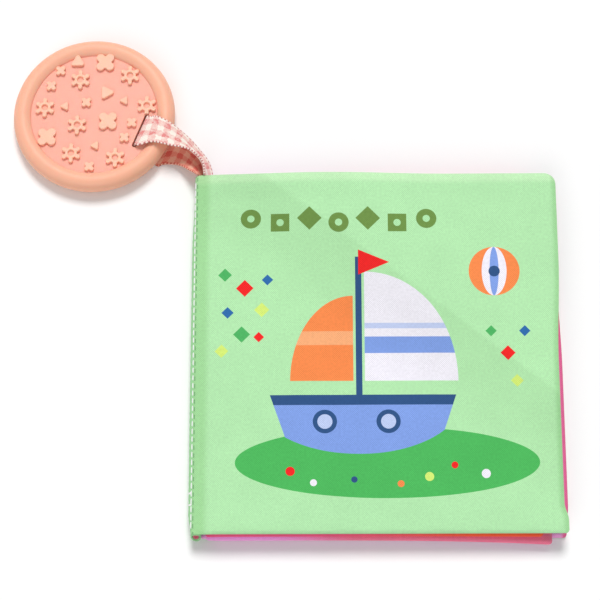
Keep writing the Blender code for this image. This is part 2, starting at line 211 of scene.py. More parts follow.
def tinted(tree, colour, value, start, end, tint, blend_type="MIX"):
    """The colour, turned softly to the tint or multiplied by it as the value goes from start to end."""
    reach = {"Value": value, "From Min": start, "From Max": end}
    share = add_node(tree, "MapRange", reach, interpolation_type="SMOOTHSTEP")
    layers = {0: share, 6: colour, 7: tint}
    return add_node(tree, "Mix", layers, 2, data_type="RGBA", blend_type=blend_type)


def inked(tree, colour, marks):
    """The colour with the ink of each mark laid over it, as far as the mark goes from 0 to 1."""
    for mark, ink in marks:
        layers = {0: mark, 6: colour, 7: linear(ink)}
        colour = add_node(tree, "Mix", layers, 2, data_type="RGBA")
    return colour


def weave_share(tree, place, pitch):
    """Plain weave, from 0 to 1: threads of both ways that rise and dip in turn."""
    turned = add_node(tree, "VectorMath", {0: place, "Scale": math.pi / pitch}, operation="SCALE")
    waves = add_node(tree, "VectorMath", (turned,), operation="SINE")
    along, across, _ = add_node(tree, "SeparateXYZ", (waves,)).node.outputs
    crossed = add_node(tree, "Math", (along, across), operation="MULTIPLY")
    return add_node(tree, "Math", (crossed, 0.5, 0.5), operation="MULTIPLY_ADD")


def row_of_marks(tree, value, pitch, limit):
    """1 on marks at the pitch, long where the limit is low. A negative pitch starts with a gap."""
    wave = add_node(tree, "Math", (value, 2 * math.pi / pitch), operation="MULTIPLY")
    wave = add_node(tree, "Math", (wave,), operation="SINE")
    return add_node(tree, "Math", (wave, limit), operation="GREATER_THAN")


def seen_directly(tree):
    """1 where a ray comes from the camera, from a gloss or through something clear."""
    seen = add_node(tree, "LightPath", output="Is Camera Ray")
    for kind in ("Is Glossy Ray", "Is Transmission Ray"):
        path = add_node(tree, "LightPath", output=kind)
        seen = add_node(tree, "Math", (seen, path), operation="MAXIMUM")
    return seen


# Stage


def place_camera():
    """Looks down on the closed book from its foot, with the picture's own slight roll."""
    turn = Matrix.Rotation(-camera_azimuth, 4, "Z")
    turn = turn @ Matrix.Rotation(math.pi / 2 - camera_elevation, 4, "X")
    turn = turn @ Matrix.Rotation(camera_roll, 4, "Z")
    back = Matrix.Translation((0, 0, camera_distance))
    bpy.ops.object.camera_add()
    camera = bpy.context.object
    camera.matrix_world = Matrix.Translation(camera_target) @ turn @ back
    camera.data.sensor_width = sensor_width
    camera.data.lens = sensor_width * focal_share
    bpy.context.scene.camera = camera


def dress_stage():
    """A white floor and world, a soft key light from the book's head and a weak fill from its foot."""
    deselect()
    bpy.ops.mesh.primitive_plane_add(size=6)
    floor = bpy.context.object
    floor.name = "studio_floor"
    board, tree, _ = new_material("matt_white_board", as_cloth=False)
    colour = inked(tree, linear("F2F0ED"), [(seen_directly(tree), "FFFFFF")])
    floor.data.materials.append(with_surface(board, {"Color": colour}, "BsdfDiffuse"))

    world = bpy.data.worlds.new("studio")
    bpy.context.scene.world = world
    world.use_nodes = True
    tree = world.node_tree
    sky = tree.nodes["Background"]
    strength = add_node(tree, "Mix", {0: seen_directly(tree), 2: 0.38, 3: 1.0})
    tree.links.new(strength, sky.inputs["Strength"])
    sky.inputs["Color"].default_value = linear("FFFFFF")

    for name, aim, strength, angle in (
        ("key_from_head", (0.06, 0.6, 1), 1.95, 22),
        ("fill_from_foot", (-0.4, -1, 0.75), 0.68, 50),
    ):
        bpy.ops.object.light_add(type="SUN")
        lamp = bpy.context.object
        lamp.name = name
        lamp.data.energy = strength
        lamp.data.angle = math.radians(angle)
        lamp.rotation_euler = Vector(aim).to_track_quat("Z", "Y").to_euler()


# Cloth leaves


def smooth(share):
    share = np.clip(share, 0, 1)
    return share * share * (3 - 2 * share)


def bell(distance, reach):
    return np.exp(-((distance / reach) ** 2))


def stations(length, step):
    """Distances across a leaf: close together where its edge turns, then even."""
    turn = 6
    near = edge_turn * (1 - np.cos(0.5 * math.pi * np.arange(turn) / turn))
    count = math.ceil((length - 2 * edge_turn) / step)
    even = np.linspace(edge_turn, length - edge_turn, count + 1)
    return np.concatenate([near, even, length - near[::-1]])


def round_corners(a, b, width, height):
    """Moves the grid in to rounded corners. It also gives the distance from the edge and its direction."""
    fore_radius = np.where(b < height / 2, foot_corner_radius, head_corner_radius)
    radius = np.where(a < width / 2, spine_corner_radius, fore_radius)
    near_a, near_b = np.minimum(a, width - a), np.minimum(b, height - b)
    distance = np.minimum(near_a, near_b)
    other = np.maximum(near_a, near_b)
    inside = (near_a < radius) & (near_b < radius) & (distance < radius - 1e-9)
    turn = 0.25 * math.pi * np.where(inside, (radius - other) / np.maximum(radius - distance, 1e-9), 0)
    first = near_a <= near_b
    out_a = np.where(inside, np.where(first, np.cos(turn), np.sin(turn)), first)
    out_b = np.where(inside, np.where(first, np.sin(turn), np.cos(turn)), ~first)
    near_a = np.where(inside, radius - (radius - distance) * out_a, near_a)
    near_b = np.where(inside, radius - (radius - distance) * out_b, near_b)
    left, low = a < width / 2, b < height / 2
    a = np.where(left, near_a, width - near_a)
    b = np.where(low, near_b, height - near_b)
    return a, b, distance, np.where(left, -out_a, out_a), np.where(low, -out_b, out_b)


def ripples(x, y, seed):
    """Slow, soft unevenness between -1 and 1, the same each run."""
    total = 0
    for i in range(5):
        heading = 1.7 * i + 0.9 * seed
        wave = (0.16 + 0.05 * i) / mm
        phase = 2.1 * i * i + 1.3 * seed
        total = total + np.sin(wave * (x * math.cos(heading) + y * math.sin(heading)) + phase)
    return total / 5


class Leaf:
    """One padded leaf of the closed stack, counted from the back cover at 0.

    It starts and ends at distances from the fold's axis, and drops towards the foot. Its seam
    sits at a share of its thickness."""

    def __init__(self, name, place, start, reach, step, spine_drop=0, fore_drop=0, bow=0, seam=0.35):
        self.name, self.place, self.step = name, place, step
        self.start, self.reach, self.width = start, reach, reach - start
        self.spine_drop, self.fore_drop = spine_drop, fore_drop
        self.bow, self.seam = bow, seam
        self.middle = place * leaf_pitch + leaf_thickness / 2 - axis_z

    def drop(self, u):
        """How far the leaf lies towards the foot: it sags most near its fore corner."""
        return self.spine_drop + (self.fore_drop - self.spine_drop) * np.clip(u / self.reach, 0, 1) ** 4

    def sides(self, u):
        """Heights of the lower and upper side about the spine's axis."""
        half = leaf_thickness / 2
        taper = (u - self.start) / (taper_end - self.start)
        if self.place in (1, 2):
            draw = stitched_share + (1 - stitched_share) * (1 - (1 - np.clip(taper, 0, 1)) ** 2)
            return draw * (self.middle - half), draw * (self.middle + half)
        over = core_radius + cloth_gap
        inner = np.where(u < 0, np.sqrt(np.maximum(over**2 - u**2, 0)), over)
        inner = inner + (abs(self.middle) - half - over) * smooth(u / taper_end)
        thick = stitched_thickness + (leaf_thickness - stitched_thickness) * smooth(taper)
        if self.place == 0:
            return -(inner + thick), -inner
        return inner, inner + thick


class LeafGrid:
    """A grid over the flat leaf and where its points lie in the closed book."""

    def __init__(self, leaf, a, b):
        flat_a, flat_b, distance, self.out_a, self.out_b = round_corners(
            *np.meshgrid(a, b, indexing="ij"), leaf.width, book_height
        )
        self.u, self.y = leaf.start + flat_a, flat_b - book_height / 2
        self.turn = np.arccos(np.clip(1 - distance / edge_turn, 0, 1))
        share_u, share_y = 2 * flat_a / leaf.width - 1, 2 * self.y / book_height
        # The fore edge bows along its foot half, short of the corner, and less and less past the middle
        bowed = smooth((self.y + 61 * mm) / (6 * mm)) * (1 - smooth((self.y + 5 * mm) / (38 * mm)))
        self.x_out = axis_x + self.u + leaf.bow * smooth(share_u) * bowed
        self.y_out = self.y - leaf.drop(self.u)
        self.lower, self.upper = leaf.sides(self.u)
        self.relief = 0 * self.u
        if leaf.place == 3:
            # The head edge waves, and the turned edge gathers in small puckers
            wave = 0.9 * mm * np.sin(math.pi * np.clip(self.u / (90 * mm), 0, 1)) ** 2
            self.y_out = self.y_out + wave * smooth((share_y - 0.4) / 0.6)
            pucker = np.sin(2 * math.pi * (self.u + self.y) / (5.3 * mm))
            pucker = pucker * np.sin(2 * math.pi * (self.u - self.y) / (7.9 * mm) + 1)
            pucker = 0.1 * mm * pucker * bell(distance - 1.2 * mm, 1.6 * mm)
            relief = cover_relief(self.u, self.y, leaf.width, share_u, share_y) + pucker
            self.relief = relief * (self.upper - self.lower) / leaf_thickness

    def at(self, height):
        return np.stack([self.x_out, self.y_out, axis_z + height], axis=-1)


def cover_relief(u, y, width, share_u, share_y):
    """Unevenness of the padded cover: rolled edges, a trough below the head and soft dents."""
    to_fore, to_spine = (1 - share_u) * width / 2, (1 + share_u) * width / 2
    to_head, to_foot = (1 - share_y) * book_height / 2, (1 + share_y) * book_height / 2
    relief = cover_padding * (1 - share_u**4) * (1 - share_y**4)
    for away, reach, depth in (
        (to_fore, 4.5, 1.0), (to_head, 3.4, 0.7), (to_foot, 2.4, 0.4), (to_spine, 3.4, 0.7),
    ):
        relief = relief - depth * mm * (1 - np.clip(away / (reach * mm), 0, 1)) ** 2
    trough = 0.75 * mm * bell(to_head - 10 * mm, 4 * mm)
    relief = relief - trough * (1 - 0.75 * smooth((share_u + 0.7) / 0.9))
    # Dents: their places and sizes as shares of the cover's half width and half height
    for place_u, place_y, size_u, size_y, depth in (
        (0.9, -0.86, 0.035, 0.16, 0.45), (0.86, -0.9, 0.2, 0.14, 0.3), (0.92, 0.5, 0.12, 0.3, 0.3),
        (-0.55, -0.7, 0.35, 0.35, 0.2), (-0.86, 0.62, 0.09, 0.4, 0.3),
    ):
        dent = bell(share_u - place_u, size_u) * bell(share_y - place_y, size_y)
        relief = relief - depth * mm * dent
    pull = np.cos(2 * math.pi * y / stitch_pitch) * np.exp(-to_spine / (1.6 * mm))
    return relief + 0.2 * mm * ripples(u, y, 1) - 0.1 * mm * pull


def grid_quads(index):
    quads = [index[:-1, :-1], index[1:, :-1], index[1:, 1:], index[:-1, 1:]]
    return np.stack(quads, axis=-1).reshape(-1, 4)


def cloth_mesh(name, points, faces, rest):
    """A smooth mesh that carries where each point lay in the flat cloth."""
    mesh = bpy.data.meshes.new(name)
    mesh.from_pydata(points.tolist(), [], faces.tolist())
    attribute = mesh.attributes.new("rest", "FLOAT_VECTOR", "POINT")
    attribute.data.foreach_set("vector", rest.astype(np.float32).ravel())
    mesh.shade_smooth()
    mesh.update()
    return mesh


def pillow_mesh(leaf):
    """A closed pillow: two panels of cloth that meet at a turned seam all round."""
    grid = LeafGrid(leaf, stations(leaf.width, leaf.step), stations(book_height, leaf.step))
    fullness = np.sin(grid.turn)
    seam = grid.lower + leaf.seam * (grid.upper - grid.lower)
    top = grid.at(seam + (grid.upper - seam + grid.relief) * fullness)
    bottom = grid.at(seam - (seam - grid.lower) * fullness)
    surplus = edge_turn * (0.5 * math.pi - grid.turn - np.cos(grid.turn))
    rest_u, rest_y = grid.u + grid.out_a * surplus, grid.y + grid.out_b * surplus
    rest = np.stack([axis_x + rest_u, rest_y, 0 * rest_u], axis=-1)
    rows, columns = grid.u.shape
    upper_index = np.arange(rows * columns).reshape(rows, columns)
    lower_index = upper_index.copy()
    inner = (rows - 2) * (columns - 2)
    lower_index[1:-1, 1:-1] = rows * columns + np.arange(inner).reshape(rows - 2, columns - 2)
    points = np.concatenate([top.reshape(-1, 3), bottom[1:-1, 1:-1].reshape(-1, 3)])
    rests = np.concatenate([rest.reshape(-1, 3), rest[1:-1, 1:-1].reshape(-1, 3)])
    faces = np.concatenate([grid_quads(upper_index), grid_quads(lower_index)[:, ::-1]])
    mesh = cloth_mesh(leaf.name + "_pillow", points, faces, rests)
    lower_side = np.arange(len(faces)) >= len(faces) // 2
    mesh.polygons.foreach_set("material_index", lower_side.astype(np.int32))
    return mesh


def slab_mesh(name, above, below, rest):
    """A closed sheet between two grids of points, walled round its border."""
    rows, columns = above.shape[:2]
    count = rows * columns
    top = np.arange(count).reshape(rows, columns)
    border = np.concatenate([top[:-1, 0], top[-1, :-1], top[:0:-1, -1], top[0, :0:-1]])
    after = np.roll(border, -1)
    walls = np.stack([border + count, after + count, after, border], axis=-1)
    points = np.concatenate([above.reshape(-1, 3), below.reshape(-1, 3)])
    faces = np.concatenate([grid_quads(top), grid_quads(top + count)[:, ::-1], walls])
    return cloth_mesh(name, points, faces, np.concatenate([rest.reshape(-1, 3)] * 2))


def layer_mesh(name, leaf, low_share, high_share):
    """A layer inside the leaf, between two shares of its thickness and short of its seams."""
    a = np.linspace(spine_margin, leaf.width - seam_margin, int(leaf.width / layer_step))
    b = np.linspace(seam_margin, book_height - seam_margin, int(book_height / layer_step))
    grid = LeafGrid(leaf, a, b)
    thick = grid.upper + grid.relief - grid.lower
    above, below = grid.at(grid.lower + high_share * thick), grid.at(grid.lower + low_share * thick)
    return slab_mesh(name, above, below, np.stack([grid.x_out, grid.y, 0 * grid.y], axis=-1))


def make_leaves():
    """Four padded leaves, each with a wadding and a crinkle film between its two panels."""
    # The printed cover also carries painted shade and highlight over its print
    printed = woven_cloth("printed_green_polyester", "B9EFB5", cover_print_and_painted_shade)
    green = woven_cloth("green_polyester", "B4EAB0")
    teal = woven_cloth("teal_polyester", "8FCFB4")
    red = woven_cloth("orange_red_polyester", "F85A88", printed_fade("FF6038", -25 * mm, 38 * mm))
    pink = woven_cloth("pink_polyester", "FFA6EC", printed_fade("FF80A0", -40 * mm, -5 * mm))
    lilac = woven_cloth("lilac_polyester", "FBAEE6", printed_fade("F2689E", 62.6 * mm, 64.2 * mm))
    wadding = fibre_wadding()
    film = crinkled_film()

    front_cover = Leaf("front_cover", 3, -1.57 * mm, 127.2 * mm, 0.9 * mm, bow=-1.35 * mm, seam=0.5)
    leaf_2 = Leaf("leaf_2", 2, 3.12 * mm, 118.6 * mm, 1.6 * mm, 0.3 * mm, 0.65 * mm)
    leaf_3 = Leaf("leaf_3", 1, 3.12 * mm, 121.8 * mm, 1.6 * mm, 1.1 * mm, 2.9 * mm)
    back_cover = Leaf("back_cover", 0, 1.03 * mm, 127.2 * mm, 1.6 * mm, 0, -0.1 * mm, 0.9 * mm, 0.15)
    for leaf, body, slot, upper, lower, *panels in (
        (front_cover, "front_cover", "green_fabric", printed, teal, "_outer", "_inner"),
        (leaf_2, "leaf_2", "red_fabric", red, pink, "_front", "_back"),
        (leaf_3, "leaf_3", "pink_fabric", pink, lilac, "_front", "_back"),
        (back_cover, "root", "lilac_fabric", lilac, green, "_inner", "_outer"),
    ):
        pillow = add_piece(leaf.name + "_pillow", pillow_mesh(leaf), upper, lower)
        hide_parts(*[leaf.name + panel for panel in panels])
        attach(pillow, body)
        for layer, shares, material in (
            ("wadding", (0.26, 0.5), wadding),
            ("crinkle_film", (0.62, 0.7), film),
        ):
            node = leaf.name + "_" + layer
            piece = add_piece(node + "_layer", layer_mesh(node + "_layer", leaf, *shares), material)
            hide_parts(node)
            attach(piece, body)


# Spine


def fold_mesh(name, radius, wall, pinch_share, reach_out, head):
    """A sheet's fold outside its stitches, open towards the leaves and pinched at the foot."""
    around = np.radians(np.linspace(fold_start, fold_end, 56))
    along = np.linspace(-book_height / 2, head, 188)
    angle, y = np.meshgrid(around, along, indexing="ij")
    side = np.clip(-np.cos(angle), 0, 1) ** 2
    slimmer = 1 - 0.3 * smooth((y - 38 * mm) / (24 * mm)) * side**2
    foot = smooth((-y - book_height / 2 + 8 * mm) / (8 * mm))
    narrow = 1 - pinch_share * foot
    y_out = y - reach_out * foot**2 * np.clip(-np.sin(angle), 0, 1)
    pull = 0.04 * mm * np.cos(2 * math.pi * y / stitch_pitch)
    swell = side * (0.02 * mm + 0.08 * mm * bell(y + 15 * mm, 34 * mm) + pull)
    sides = []
    for distance in (radius - wall, radius + swell * radius / core_radius):
        distance = distance * slimmer
        x = axis_x + narrow * distance * np.cos(angle) - 0.12 * mm * foot
        sides.append(np.stack([x, y_out, axis_z + distance * np.sin(angle)], axis=-1))
    return slab_mesh(name, *sides, np.stack([angle * radius, y, 0 * y], axis=-1))


def add_fold(name, node, slot, hex_colour, *form):
    cloth = woven_cloth(name.replace("_cloth", "_polyester"), hex_colour)
    fold = add_piece(name, fold_mesh(name, *form), cloth)
    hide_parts(node)
    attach(fold, "root")
    return fold


def make_folds():
    """The folds of both sheets outside the stitches, the inner one within the outer."""
    form = (core_radius, stitched_thickness, 0.35, 1.1 * mm, 65.5 * mm)
    # The fold's green is a shade darker than the covers': painted shade where it turns away from the light
    outer = add_fold("spine_fold_cloth", "spine_outer_fold", "green_fabric", "A6E2A4", *form)
    form = (1.3 * mm, 0.45 * mm, 0.3, 0.6 * mm, 55.2 * mm)
    add_fold("inner_fold_cloth", "spine_inner_fold", "red_fabric", "F07890", *form)


def on_fold(distance, turn, y):
    """The move to a place so far out from the fold's axis, turned so far round it."""
    return Matrix.Translation((axis_x + distance * math.cos(turn), y, axis_z + distance * math.sin(turn)))


def stitch_places():
    """Where each stitch lies along the spine, and the threads of two tack bars across its foot.

    Pulled tight, they lie flat on the cloth."""
    places = []
    lie = Matrix.Rotation(math.pi / 2 - stitch_turn, 4, "Y") @ Matrix.Diagonal((1.1, 1, 0.38, 1))
    for i in range(int((book_height - 3 * mm) / stitch_pitch)):
        y = -book_height / 2 + 2.2 * mm + (i + 0.5) * stitch_pitch
        places.append(on_fold(core_radius - 0.03 * mm, stitch_turn, y) @ lie)
    for y in tack_rows:
        for turn in tack_turns:
            turn = math.radians(turn)
            across = Matrix.Rotation(-turn, 4, "Y") @ Matrix.Rotation(math.pi / 2, 4, "X")
            lie = across @ Matrix.Diagonal((0.38, 0.62, 1.1, 1))
            places.append(on_fold(core_radius - 0.02 * mm, turn, y) @ lie)
    return places


def make_stitches():
    """White lockstitch along the spine and its tack bars: one stitch, modelled once and copied."""
    deselect()
    bpy.ops.mesh.primitive_uv_sphere_add(segments=10, ring_count=8, radius=thread_radius)
    stitch = bpy.context.object
    bpy.ops.object.mode_set(mode="EDIT")
    bpy.ops.mesh.select_all(action="SELECT")
    bpy.ops.transform.resize(value=(1, stitch_length / 2 / thread_radius, 1))
    bpy.ops.object.mode_set(mode="OBJECT")
    threads = []
    for place in stitch_places():
        twin = stitch.copy()
        twin.data = stitch.data.copy()
        twin.data.transform(place)
        bpy.context.scene.collection.objects.link(twin)
        threads.append(twin)
    bpy.data.objects.remove(stitch, do_unlink=True)
    only(threads[0])
    for twin in threads:
        twin.select_set(True)
    bpy.ops.object.join()
    piece = threads[0]
    piece.name = "spine_stitches"
    piece.data.shade_smooth()
    piece.data.materials.append(spun_thread())
    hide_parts("spine_thread")
    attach(piece, "root")


# Ribbon

# The strip's two selvedges, rear and front, in mm: from the spine over the rim to the slot
upper_at_spine = (
    ((-58.4, 66.0, 1.0), (-60.8, 65.9, 10.2)), ((-58.4, 68.9, 1.0), (-60.9, 67.2, 10.4)),
    ((-59.3, 72.4, 1.3), (-61.3, 69.6, 10.7)), ((-60.9, 75.2, 2.0), (-62.3, 71.6, 10.8)),
    ((-63.0, 77.6, 3.0), (-64.0, 73.3, 10.8)),
)
upper_over_rim = (
    ((-65.5, 80.3, 4.4), (-66.4, 74.9, 10.8)), ((-68.6, 82.9, 6.0), (-69.6, 75.9, 10.7)),
    ((-71.6, 84.9, 7.7), (-72.9, 76.4, 10.6)), ((-74.7, 86.9, 8.8), (-76.4, 77.3, 10.5)),
    ((-78.4, 88.6, 8.9), (-80.2, 78.2, 9.6)),
)
# Through the slot and under the rim: across and up in the teether's own frame
through_slot = ((20.4, 7.3), (18.9, 6.3), (18.45, 4.6), (18.5, 2.4), (19.0, 0.2), (21.0, -0.45))
lower_under_rim = (
    ((-74.5, 83.7, 0.32), (-78.9, 72.5, 0.4)), ((-72.3, 83.8, 0.35), (-76.8, 72.9, 0.7)),
    ((-70.3, 83.2, 0.45), (-74.3, 72.8, 1.4)), ((-68.2, 81.8, 0.6), (-71.8, 72.2, 2.5)),
    ((-66.1, 79.6, 0.8), (-69.6, 71.1, 3.9)),
)
lower_at_spine = (
    ((-64.0, 76.6, 1.0), (-67.4, 69.3, 5.6)), ((-62.2, 72.8, 1.0), (-65.4, 67.6, 7.3)),
    ((-61.2, 69.2, 1.0), (-64.2, 66.5, 8.5)), ((-60.8, 66.2, 1.0), (-63.4, 65.9, 9.0)),
)


def spline(points, steps):
    """A smooth curve through the points (Catmull-Rom)."""
    line = np.array([tuple(p) for p in points])
    line = np.concatenate([[2 * line[0] - line[1]], line, [2 * line[-1] - line[-2]]])
    made = []
    for i in range(1, len(line) - 2):
        p0, p1, p2, p3 = line[i - 1 : i + 3]
        for t in np.arange(steps) / steps:
            bend = (p2 - p0) * t + (2 * p0 - 5 * p1 + 4 * p2 - p3) * t**2
            made.append(0.5 * (2 * p1 + bend + (3 * p1 - p0 - 3 * p2 + p3) * t**3))
    made.append(line[-2])
    return np.array(made)


def ribbon_selvedges():
    """The strip's rear and front selvedge at each station, from the spine to the slot and back."""
    upper, lower = (
        [(Vector(rear) * mm, Vector(front) * mm) for rear, front in run]
        for run in (upper_at_spine + upper_over_rim, lower_under_rim + lower_at_spine)
    )
    half = ribbon_width / 2
    slot = [
        [disc_centre + disc_turn @ Vector((u * mm, v, w * mm)) for v in (half, -half)]
        for u, w in through_slot
    ]
    return upper + slot + lower


def ribbon_grid():
    """Points across the strip at each of its rows, and where they lie in the flat ribbon."""
    pairs = ribbon_selvedges()
    rear = spline([p for p, _ in pairs], ribbon_steps)
    front = spline([q for _, q in pairs], ribbon_steps)
    middle, across = (rear + front) / 2, front - rear
    chord = np.linalg.norm(across, axis=1, keepdims=True)
    forward = np.gradient(middle, axis=0)
    normal = np.cross(forward, across)
    normal /= np.linalg.norm(normal, axis=1, keepdims=True)
    along = np.concatenate([[0], np.cumsum(np.linalg.norm(np.diff(middle, axis=0), axis=1))])

    # Where the selvedges lie closer than the ribbon is wide, it sags between them like a trough.
    # The run above lies flat from the rim on, and the run below arches the other way a little
    spare = np.clip(ribbon_width / chord - 1, 0, 1)
    depth = np.minimum(chord * np.sqrt(0.375 * spare), 1.3 * mm)
    row = (np.arange(len(along)) / ribbon_steps)[:, None]
    free = 1 - smooth((row - 4.5) / 2.5)
    depth = depth * np.where(row < (len(pairs) - 1) / 2, free, -0.2)
    for _ in range(30):
        depth[1:-1] = (depth[:-2] + 2 * depth[1:-1] + depth[2:]) / 4

    picot = picot_height * np.sin(2 * math.pi * along / picot_pitch)[:, None]
    lanes = (1 - np.cos(np.linspace(0, math.pi, ribbon_lanes))) / 2
    points, flat = [], []
    for lane in lanes:
        point = rear + across * lane - normal * depth * 4 * lane * (1 - lane)
        if lane in (lanes[0], lanes[-1]):
            point = point + across / chord * picot * (1 if lane > 0.5 else -1)
        points.append(point)
        flat.append(np.stack([along, np.full_like(along, lane * ribbon_width), 0 * along], axis=-1))
    return np.stack(points, axis=1), np.stack(flat, axis=1)


def strip_mesh(name, runs):
    """One mesh of one or more runs of ribbon."""
    points, flats, faces, first = [], [], [], 0
    for grid, flat in runs:
        rows, columns = grid.shape[:2]
        faces.append(grid_quads(first + np.arange(rows * columns).reshape(rows, columns)))
        points.append(grid.reshape(-1, 3))
        flats.append(flat.reshape(-1, 3))
        first += rows * columns
    return cloth_mesh(name, np.concatenate(points), np.concatenate(faces), np.concatenate(flats))


def ribbon_piece(name, runs, material):
    piece = add_piece(name, strip_mesh(name, runs), material)
    apply_modifier(piece, "SOLIDIFY", thickness=ribbon_thickness, offset=0)
    piece.data.shade_smooth()
    return piece


def make_ribbon():
    """The strip in two pieces that meet halfway, because it crosses two joints."""
    cloth = gingham("gingham_ribbon_cloth")
    grid, flat = ribbon_grid()
    near = (len(upper_at_spine) - 1) * ribbon_steps
    far = len(grid) - 1 - (len(lower_at_spine) - 1) * ribbon_steps
    at_spine = [(grid[: near + 1], flat[: near + 1]), (grid[far:], flat[far:])]
    runs = ribbon_piece("ribbon_runs", at_spine, cloth)
    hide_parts("ribbon_strap")
    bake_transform(runs)
    loop = ribbon_piece("ribbon_through_teether", [(grid[near : far + 1], flat[near : far + 1])], cloth)
    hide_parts("ribbon_loop")
    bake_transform(loop)


# Teether

# Places as shares of the figures' field, as the picture shows them; triangles also have their
# turn in degrees and their radius in mm
figure_steps = 72
gear_places = (
    (0.555, 0.64), (-0.225, 0.573), (0.83, 0.12), (-0.77, 0.104), (-0.254, -0.195),
    (-0.334, -0.666), (0.355, -0.75),
)
large_lobe_places = ((0.16, 0.867), (0.225, -0.134), (-0.72, -0.39))
small_lobe_places = (
    (-0.54, 0.73), (-0.68, 0.473), (-0.12, 0.187), (0.60, -0.165), (0.49, -0.413), (-0.045, -0.893),
)
triangle_places = (
    (-0.275, 0.882, 90, 3.3), (0.19, 0.347, 0, 3.4), (0.48, 0.21, 180, 2.2),
    (-0.45, 0.124, 180, 2.2), (0.04, -0.546, 180, 2.2),
)


def knob_share(off, centre, radius):
    """How far a line from the middle reaches in a round knob that lies so many degrees off it."""
    aside = centre * math.sin(math.radians(off))
    if aside > radius:
        return 0
    return centre * math.cos(math.radians(off)) + math.sqrt(radius**2 - aside**2)


def gear_share(turn):
    """Six round knobs, one of them straight up, round a smaller body."""
    return max(knob_share(abs(math.degrees(turn) % 60 - 30), 0.78, 0.22), 0.58)


def lobe_share(turn):
    """Four round lobes on the diagonals."""
    return max(knob_share(abs(math.degrees(turn) % 90 - 45), 0.6, 0.4), 0.6)


def triangle_share(turn):
    """Three straight sides with rounded corners."""
    off = abs((math.degrees(turn) + 60) % 120 - 60)
    if off > 16:
        return 0.5 / math.cos(math.radians(60 - off))
    return knob_share(off, 0.56, 0.22)


def raised_figure(radius, shares, turn):
    """A flat figure drawn round a circle and raised from the floor, its upper edge rounded off."""
    deselect()
    bpy.ops.mesh.primitive_circle_add(vertices=figure_steps, radius=radius, fill_type="NGON")
    figure = bpy.context.object
    for i, vert in enumerate(figure.data.vertices):
        angle = 2 * math.pi * i / figure_steps
        reach = radius * shares(angle)
        vert.co = (reach * math.cos(turn + angle), reach * math.sin(turn + angle), 0)
    bpy.ops.object.mode_set(mode="EDIT")
    bpy.ops.mesh.select_all(action="SELECT")
    straight = (0, 0, 2 * relief_height - 0.24 * mm)
    bpy.ops.mesh.extrude_region_move(TRANSFORM_OT_translate={"value": straight})
    bpy.ops.mesh.inset(thickness=0.08 * mm, depth=0.15 * mm)
    bpy.ops.mesh.inset(thickness=0.16 * mm, depth=0.09 * mm)
    bpy.ops.mesh.select_all(action="SELECT")
    bpy.ops.mesh.normals_make_consistent(inside=False)
    bpy.ops.object.mode_set(mode="OBJECT")
    return figure


def raise_figures(body):
    """Joins the figures to the floor, half sunk in it, and sinks a round hole in each gear."""
    turn = Matrix.Rotation(-disc_heading, 4, "Z")
    figures = [(3.75 * mm, gear_share, 0, *place) for place in gear_places]
    figures += [(4 * mm, lobe_share, 0, *place) for place in large_lobe_places]
    figures += [(2.1 * mm, lobe_share, 0, *place) for place in small_lobe_places]
    figures += [
        (radius * mm, triangle_share, math.radians(aim), x, y)
        for x, y, aim, radius in triangle_places
    ]
    for radius, shares, aim, x, y in figures:
        figure = raised_figure(radius, shares, aim)
        place = (x * figure_field, y * figure_field, floor_top - relief_height)
        figure.data.transform(turn @ Matrix.Translation(place))
        boolean(body, figure, "UNION")
    for x, y in gear_places:
        deselect()
        bpy.ops.mesh.primitive_cone_add(vertices=24, radius1=0.95 * mm, radius2=1.5 * mm, depth=1.6 * mm)
        hole = bpy.context.object
        place = (x * figure_field, y * figure_field, floor_top + relief_height - 0.1 * mm)
        hole.data.transform(turn @ Matrix.Translation(place))
        boolean(body, hole, "DIFFERENCE")


def add_rim(body):
    """Joins a rolled rim to the floor's edge."""
    deselect()
    bpy.ops.mesh.primitive_torus_add(
        major_segments=160, minor_segments=48,
        major_radius=rim_middle, minor_radius=rim_width / 2, location=(0, 0, 0),
    )
    rim = bpy.context.object
    bpy.ops.object.mode_set(mode="EDIT")
    bpy.ops.mesh.select_all(action="SELECT")
    bpy.ops.transform.resize(value=(1, 1, disc_height / rim_width))
    bpy.ops.transform.translate(value=(0, 0, disc_height / 2))
    bpy.ops.object.mode_set(mode="OBJECT")
    boolean(body, rim, "UNION")


def cut_slot(body):
    """Cuts the ribbon's slot: a round bar, its halves drawn apart."""
    deselect()
    bpy.ops.mesh.primitive_cylinder_add(
        vertices=32, radius=slot_width / 2, depth=20 * mm, location=(slot_middle, 0, 0)
    )
    slot = bpy.context.object
    bpy.ops.object.transform_apply()
    for vert in slot.data.vertices:
        vert.co.y += math.copysign((slot_length - slot_width) / 2, vert.co.y)
    boolean(body, slot, "DIFFERENCE")


def make_teether():
    """Cast silicone: a rolled rim round a flat floor, with raised figures and a slot."""
    deselect()
    middle = (0, 0, disc_height / 2)
    bpy.ops.mesh.primitive_cylinder_add(
        vertices=120, radius=rim_middle + 0.4 * mm, depth=floor_thickness, location=middle
    )
    body = bpy.context.object
    bpy.ops.object.transform_apply()
    body.name = "silicone_teether"
    raise_figures(body)
    add_rim(body)
    cut_slot(body)

    attribute = body.data.attributes.new("rest", "FLOAT_VECTOR", "POINT")
    attribute.data.foreach_set("vector", [c for v in body.data.vertices for c in v.co])
    body.data.transform(Matrix.Translation(disc_centre) @ disc_turn)
    only(body)
    bpy.ops.object.shade_smooth_by_angle(angle=math.radians(28))
    body.data.materials.append(cast_silicone())
    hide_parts("teether_disc")
    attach(body, "teether")


# Materials


